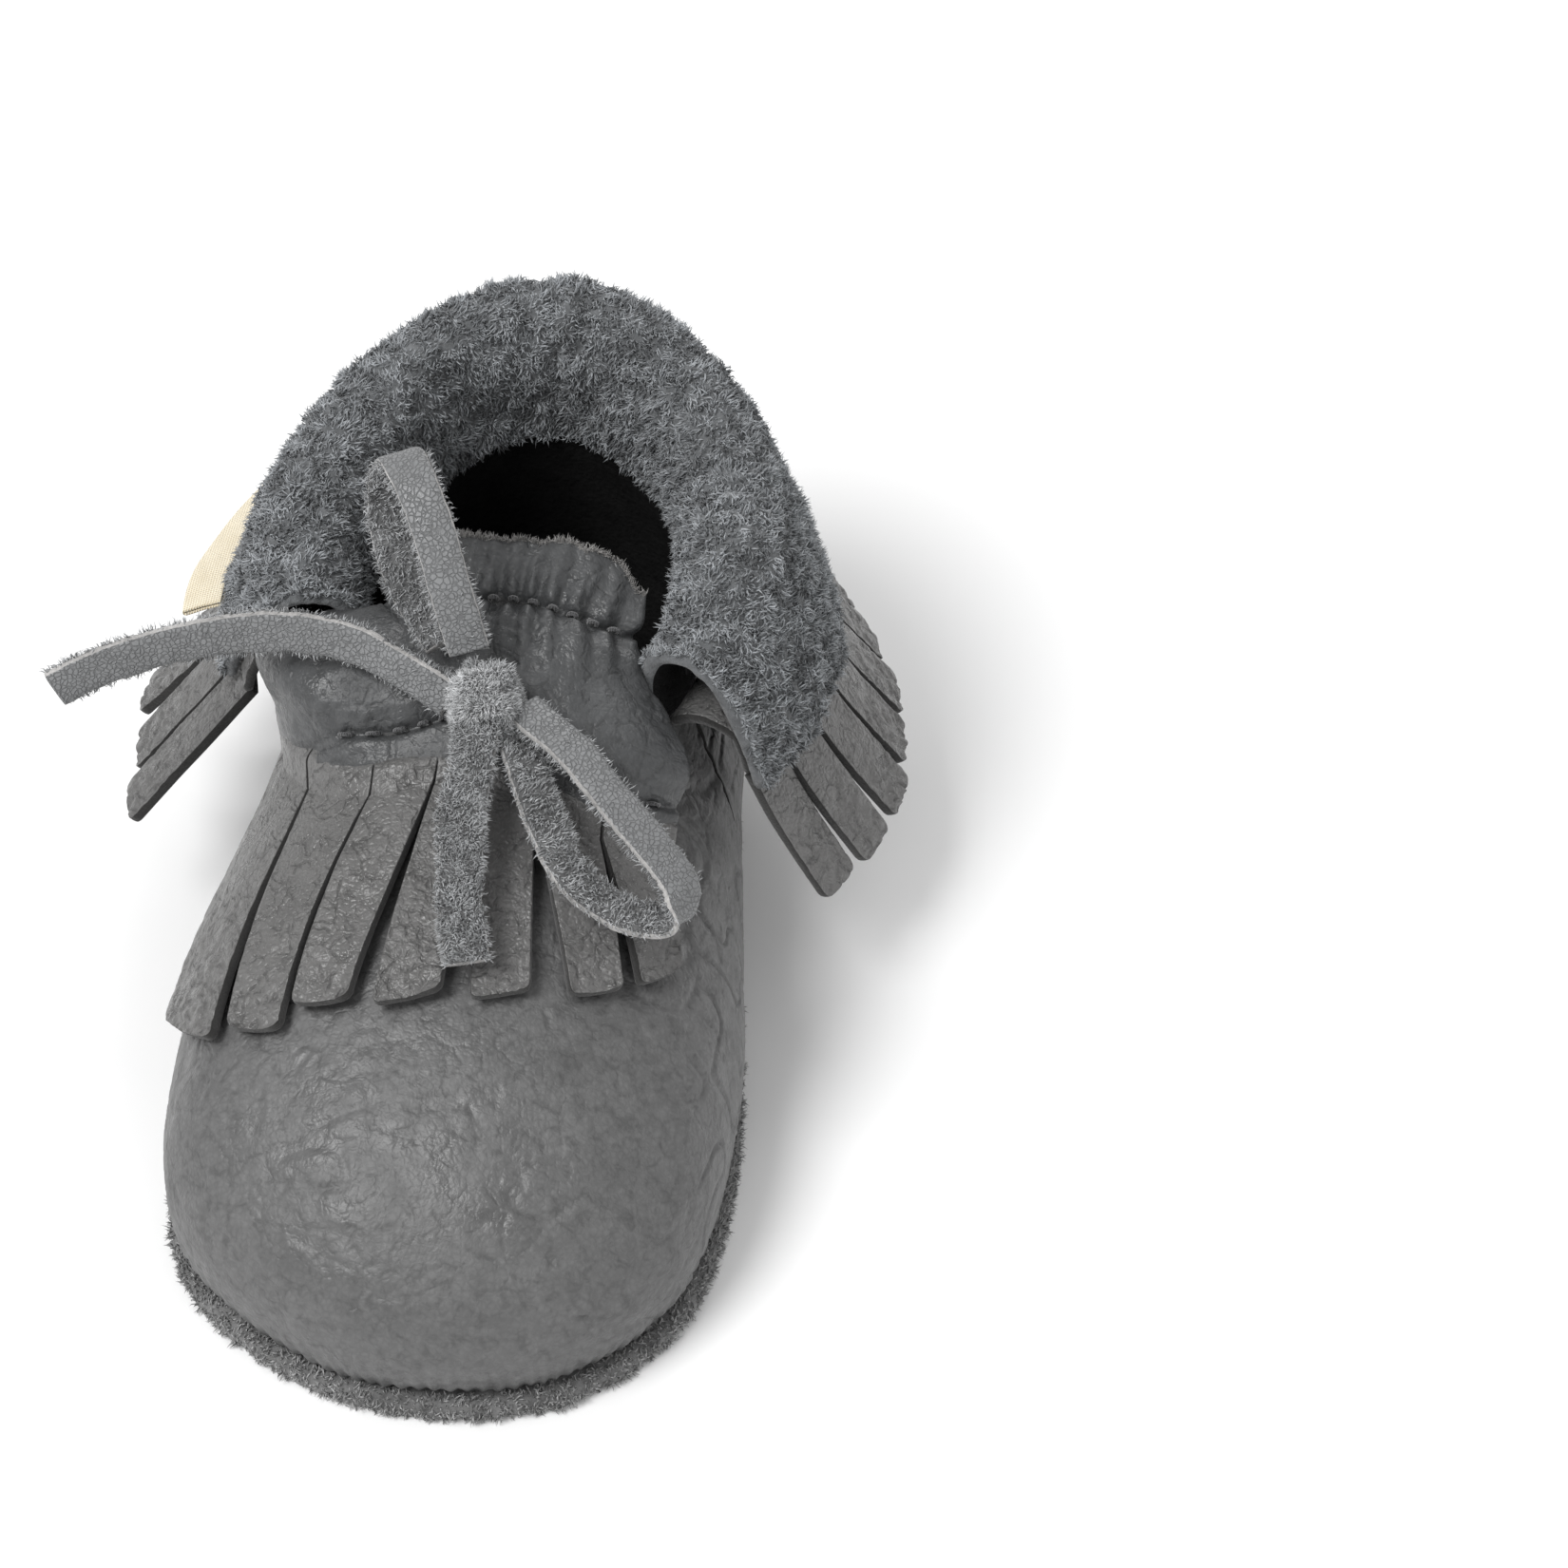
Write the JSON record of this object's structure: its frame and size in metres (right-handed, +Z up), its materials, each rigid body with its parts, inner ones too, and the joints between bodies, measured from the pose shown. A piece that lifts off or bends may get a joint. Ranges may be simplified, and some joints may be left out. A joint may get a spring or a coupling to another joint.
{
  "type": "baby moccasin",
  "caption": "Soft-soled baby moccasin in grey leather with a folded suede cuff, fringe over the toes and round the ankle, and a leather lace tied in a bow.",
  "frame": {"origin": "underside of the sole, below the middle of the upper's foot", "axes": "+Z up from the ground, -Y towards the toe, +Y towards the heel, +X towards the inner side of the right foot"},
  "size_m": [0.1, 0.1426, 0.0749],
  "materials": {
    "upper_leather": "smooth pebbled grain, soft sheen",
    "fringe_leather": "pebbled grain, cut edges dark brown, crinkled ends",
    "lace_leather": "soft thong, grain on one side, napped on the other",
    "cuff_suede": "deep napped suede",
    "tongue_suede": "napped suede",
    "sole_suede": "napped suede, fuzzy cut edge",
    "insole_suede": "napped suede",
    "elastic": "woven elastic tape",
    "label": "woven ribbon, blank",
    "thread": "sewing thread"
  },
  "bodies": {
    "moccasin": {"outsole": "sole_suede", "insole": "insole_suede", "vamp": "upper_leather", "quarter": "upper_leather", "cuff": "cuff_suede", "ankle_elastic": "elastic", "tongue_flap": "upper_leather", "tongue_lining": "tongue_suede", "tongue_elastic": "elastic", "fringe_band": "fringe_leather", "lace_knot": "lace_leather", "lace_tail_left": "lace_leather", "lace_tail_front": "lace_leather", "lace_loop_left": "lace_leather", "lace_loop_right": "lace_leather", "lace_bridge": "lace_leather", "side_label": "label", "gather_thread": "thread", "flap_seam_thread": "thread"},
    "front_strand_1_body": {"front_strand_1": "fringe_leather"},
    "front_strand_2_body": {"front_strand_2": "fringe_leather"},
    "front_strand_3_body": {"front_strand_3": "fringe_leather"},
    "front_strand_4_body": {"front_strand_4": "fringe_leather"},
    "front_strand_5_body": {"front_strand_5": "fringe_leather"},
    "front_strand_6_body": {"front_strand_6": "fringe_leather"},
    "front_strand_7_body": {"front_strand_7": "fringe_leather"},
    "side_strand_1_body": {"side_strand_1": "fringe_leather"},
    "side_strand_2_body": {"side_strand_2": "fringe_leather"},
    "side_strand_3_body": {"side_strand_3": "fringe_leather"},
    "side_strand_4_body": {"side_strand_4": "fringe_leather"},
    "side_strand_5_body": {"side_strand_5": "fringe_leather"},
    "side_strand_6_body": {"side_strand_6": "fringe_leather"},
    "side_strand_7_body": {"side_strand_7": "fringe_leather"},
    "side_strand_8_body": {"side_strand_8": "fringe_leather"},
    "side_strand_9_body": {"side_strand_9": "fringe_leather"},
    "side_strand_10_body": {"side_strand_10": "fringe_leather"},
    "side_strand_11_body": {"side_strand_11": "fringe_leather"},
    "side_strand_12_body": {"side_strand_12": "fringe_leather"},
    "side_strand_13_body": {"side_strand_13": "fringe_leather"},
    "side_strand_14_body": {"side_strand_14": "fringe_leather"},
    "side_strand_15_body": {"side_strand_15": "fringe_leather"},
    "side_strand_16_body": {"side_strand_16": "fringe_leather"},
    "side_strand_17_body": {"side_strand_17": "fringe_leather"},
    "side_strand_18_body": {"side_strand_18": "fringe_leather"},
    "side_strand_19_body": {"side_strand_19": "fringe_leather"},
    "side_strand_20_body": {"side_strand_20": "fringe_leather"},
    "side_strand_21_body": {"side_strand_21": "fringe_leather"},
    "side_strand_22_body": {"side_strand_22": "fringe_leather"}
  },
  "joints": [
    {"name": "front_strand_1_bend", "type": "hinge", "parent": "moccasin", "child": "front_strand_1_body", "pos_m": [-0.02471, 0.00323, 0.03348], "axis": [-0.3629, 0.8135, -0.4545], "range_deg": [0, 40], "stiffness_Nm_per_rad": 0.0005},
    {"name": "front_strand_2_bend", "type": "hinge", "parent": "moccasin", "child": "front_strand_2_body", "pos_m": [-0.01758, -0.00558, 0.03928], "axis": [-0.7989, 0.4368, -0.4136], "range_deg": [0, 40], "stiffness_Nm_per_rad": 0.0005},
    {"name": "front_strand_3_bend", "type": "hinge", "parent": "moccasin", "child": "front_strand_3_body", "pos_m": [-0.00938, -0.00738, 0.04241], "axis": [-0.9656, -0.0935, -0.2427], "range_deg": [0, 40], "stiffness_Nm_per_rad": 0.0005},
    {"name": "front_strand_4_bend", "type": "hinge", "parent": "moccasin", "child": "front_strand_4_body", "pos_m": [-0.00254, -0.00676, 0.04361], "axis": [-0.9958, -0.0523, -0.0755], "range_deg": [0, 5], "stiffness_Nm_per_rad": 0.0005},
    {"name": "front_strand_5_bend", "type": "hinge", "parent": "moccasin", "child": "front_strand_5_body", "pos_m": [0.00353, -0.00751, 0.04337], "axis": [-0.9518, 0.272, 0.1416], "range_deg": [0, 6], "stiffness_Nm_per_rad": 0.0005},
    {"name": "front_strand_6_bend", "type": "hinge", "parent": "moccasin", "child": "front_strand_6_body", "pos_m": [0.01061, -0.0093, 0.04164], "axis": [-0.9348, 0.1882, 0.3013], "range_deg": [0, 8], "stiffness_Nm_per_rad": 0.0005},
    {"name": "front_strand_7_bend", "type": "hinge", "parent": "moccasin", "child": "front_strand_7_body", "pos_m": [0.01858, -0.0083, 0.03793], "axis": [-0.7884, -0.3717, 0.4901], "range_deg": [0, 20], "stiffness_Nm_per_rad": 0.0005},
    {"name": "side_strand_1_bend", "type": "hinge", "parent": "moccasin", "child": "side_strand_1_body", "pos_m": [0.0318, 0.01075, 0.03411], "axis": [-0.3837, -0.9202, 0.0772], "range_deg": [-20, 45], "stiffness_Nm_per_rad": 0.0005},
    {"name": "side_strand_2_bend", "type": "hinge", "parent": "moccasin", "child": "side_strand_2_body", "pos_m": [0.03434, 0.01746, 0.03365], "axis": [-0.3009, -0.9524, 0.0478], "range_deg": [-20, 45], "stiffness_Nm_per_rad": 0.0005},
    {"name": "side_strand_3_bend", "type": "hinge", "parent": "moccasin", "child": "side_strand_3_body", "pos_m": [0.036, 0.0246, 0.03342], "axis": [-0.129, -0.9915, 0.0138], "range_deg": [-20, 45], "stiffness_Nm_per_rad": 0.0005},
    {"name": "side_strand_4_bend", "type": "hinge", "parent": "moccasin", "child": "side_strand_4_body", "pos_m": [0.03603, 0.03195, 0.03347], "axis": [0.1158, -0.9928, -0.0319], "range_deg": [-20, 45], "stiffness_Nm_per_rad": 0.0005},
    {"name": "side_strand_5_bend", "type": "hinge", "parent": "moccasin", "child": "side_strand_5_body", "pos_m": [0.0345, 0.03913, 0.03389], "axis": [0.2893, -0.9538, -0.081], "range_deg": [-20, 45], "stiffness_Nm_per_rad": 0.0005},
    {"name": "side_strand_6_bend", "type": "hinge", "parent": "moccasin", "child": "side_strand_6_body", "pos_m": [0.03187, 0.04585, 0.03464], "axis": [0.4293, -0.895, -0.1212], "range_deg": [-20, 45], "stiffness_Nm_per_rad": 0.0005},
    {"name": "side_strand_7_bend", "type": "hinge", "parent": "moccasin", "child": "side_strand_7_body", "pos_m": [0.02836, 0.052, 0.03561], "axis": [0.5482, -0.8233, -0.1473], "range_deg": [-20, 45], "stiffness_Nm_per_rad": 0.0005},
    {"name": "side_strand_8_bend", "type": "hinge", "parent": "moccasin", "child": "side_strand_8_body", "pos_m": [0.02414, 0.05748, 0.03669], "axis": [0.6588, -0.7362, -0.1549], "range_deg": [-20, 45], "stiffness_Nm_per_rad": 0.0005},
    {"name": "side_strand_9_bend", "type": "hinge", "parent": "moccasin", "child": "side_strand_9_body", "pos_m": [0.01922, 0.06218, 0.03772], "axis": [0.7698, -0.6224, -0.1415], "range_deg": [-20, 45], "stiffness_Nm_per_rad": 0.0005},
    {"name": "side_strand_10_bend", "type": "hinge", "parent": "moccasin", "child": "side_strand_10_body", "pos_m": [0.01359, 0.06594, 0.03859], "axis": [0.8779, -0.4665, -0.1083], "range_deg": [-20, 45], "stiffness_Nm_per_rad": 0.0005},
    {"name": "side_strand_11_bend", "type": "hinge", "parent": "moccasin", "child": "side_strand_11_body", "pos_m": [0.00729, 0.06846, 0.03917], "axis": [0.9634, -0.2612, -0.0602], "range_deg": [-20, 45], "stiffness_Nm_per_rad": 0.0005},
    {"name": "side_strand_12_bend", "type": "hinge", "parent": "moccasin", "child": "side_strand_12_body", "pos_m": [0.00054, 0.06943, 0.0394], "axis": [0.9998, -0.0197, -0.0045], "range_deg": [-20, 45], "stiffness_Nm_per_rad": 0.0005},
    {"name": "side_strand_13_bend", "type": "hinge", "parent": "moccasin", "child": "side_strand_13_body", "pos_m": [-0.00625, 0.06872, 0.03923], "axis": [0.973, 0.2248, 0.0518], "range_deg": [-20, 45], "stiffness_Nm_per_rad": 0.0005},
    {"name": "side_strand_14_bend", "type": "hinge", "parent": "moccasin", "child": "side_strand_14_body", "pos_m": [-0.01264, 0.06643, 0.0387], "axis": [0.8936, 0.4373, 0.1015], "range_deg": [-20, 45], "stiffness_Nm_per_rad": 0.0005},
    {"name": "side_strand_15_bend", "type": "hinge", "parent": "moccasin", "child": "side_strand_15_body", "pos_m": [-0.01838, 0.06285, 0.03787], "axis": [0.7874, 0.6009, 0.1375], "range_deg": [-20, 45], "stiffness_Nm_per_rad": 0.0005},
    {"name": "side_strand_16_bend", "type": "hinge", "parent": "moccasin", "child": "side_strand_16_body", "pos_m": [-0.02341, 0.05828, 0.03685], "axis": [0.6762, 0.7204, 0.1542], "range_deg": [-20, 45], "stiffness_Nm_per_rad": 0.0005},
    {"name": "side_strand_17_bend", "type": "hinge", "parent": "moccasin", "child": "side_strand_17_body", "pos_m": [-0.02774, 0.05291, 0.03578], "axis": [0.5659, 0.8108, 0.1498], "range_deg": [-20, 45], "stiffness_Nm_per_rad": 0.0005},
    {"name": "side_strand_18_bend", "type": "hinge", "parent": "moccasin", "child": "side_strand_18_body", "pos_m": [-0.03137, 0.04687, 0.03478], "axis": [0.4492, 0.8845, 0.1263], "range_deg": [-20, 45], "stiffness_Nm_per_rad": 0.0005},
    {"name": "side_strand_19_bend", "type": "hinge", "parent": "moccasin", "child": "side_strand_19_body", "pos_m": [-0.03415, 0.04022, 0.03399], "axis": [0.3114, 0.9462, 0.0881], "range_deg": [-20, 45], "stiffness_Nm_per_rad": 0.0005},
    {"name": "side_strand_20_bend", "type": "hinge", "parent": "moccasin", "child": "side_strand_20_body", "pos_m": [-0.03567, 0.03309, 0.03351], "axis": [0.0699, 0.9967, 0.0402], "range_deg": [-20, 45], "stiffness_Nm_per_rad": 0.0005},
    {"name": "side_strand_21_bend", "type": "hinge", "parent": "moccasin", "child": "side_strand_21_body", "pos_m": [-0.03523, 0.02578, 0.03341], "axis": [-0.1502, 0.9886, -0.0078], "range_deg": [-20, 45], "stiffness_Nm_per_rad": 0.0005},
    {"name": "side_strand_22_bend", "type": "hinge", "parent": "moccasin", "child": "side_strand_22_body", "pos_m": [-0.03376, 0.01871, 0.0336], "axis": [-0.2326, 0.9716, -0.0435], "range_deg": [-20, 45], "stiffness_Nm_per_rad": 0.0005}
  ]
}
